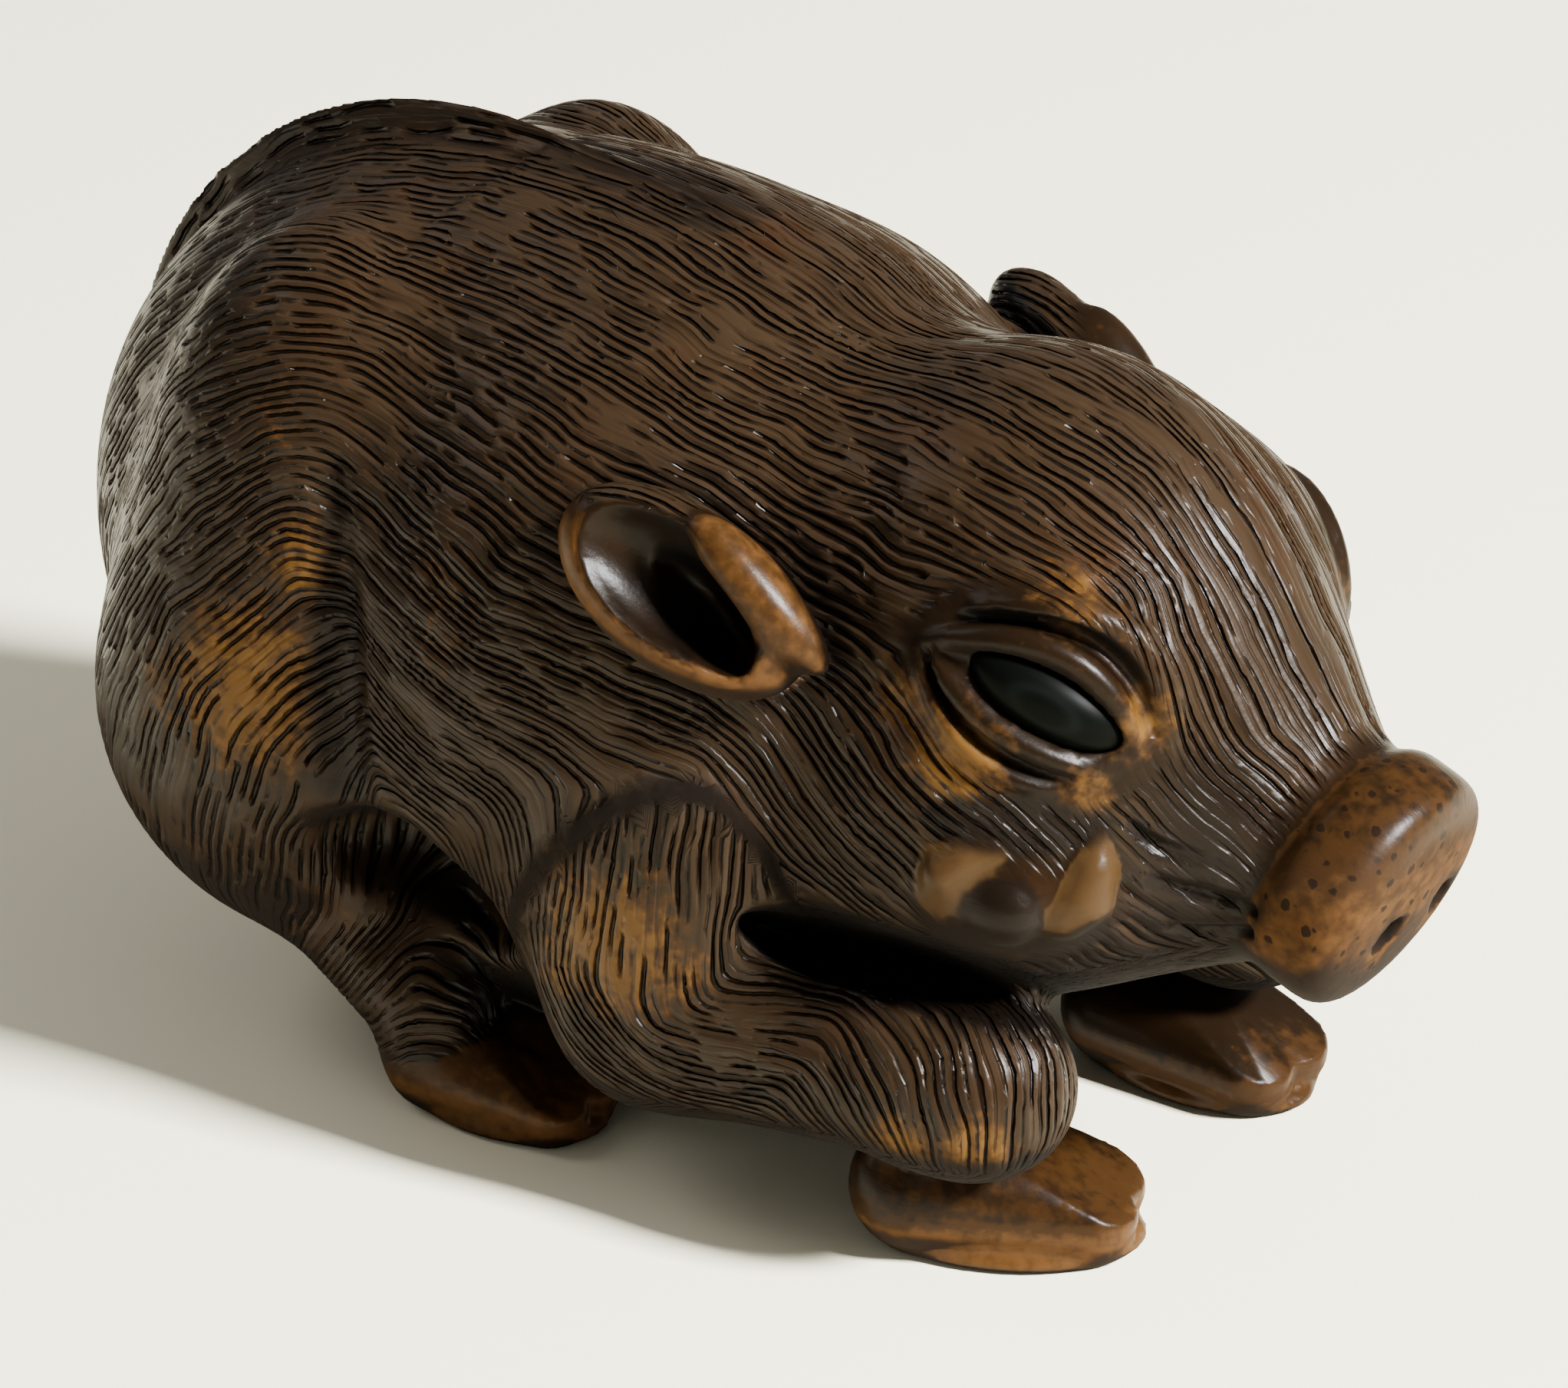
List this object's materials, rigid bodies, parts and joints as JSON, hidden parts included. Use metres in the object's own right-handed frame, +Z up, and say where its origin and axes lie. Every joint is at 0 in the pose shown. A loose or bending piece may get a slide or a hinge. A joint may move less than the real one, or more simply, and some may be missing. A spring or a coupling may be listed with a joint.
{
  "type": "netsuke",
  "caption": "Carved wood netsuke of a young wild boar lying with its legs folded under it, with engraved fur, a ridged mane and inlaid dark eyes.",
  "frame": {"origin": "on the surface that the boar lies on, under the middle of its overall box", "axes": "+X from rump to snout, +Y to the boar's left, +Z up"},
  "size_m": [0.047, 0.0244, 0.0276],
  "materials": {
    "stained_wood": "stained dark, hand polished, worn paler on the high places",
    "dark_horn": "polished horn"
  },
  "bodies": {
    "root": {"boar": "stained_wood", "eye_right": "dark_horn", "eye_left": "dark_horn"}
  },
  "joints": []
}
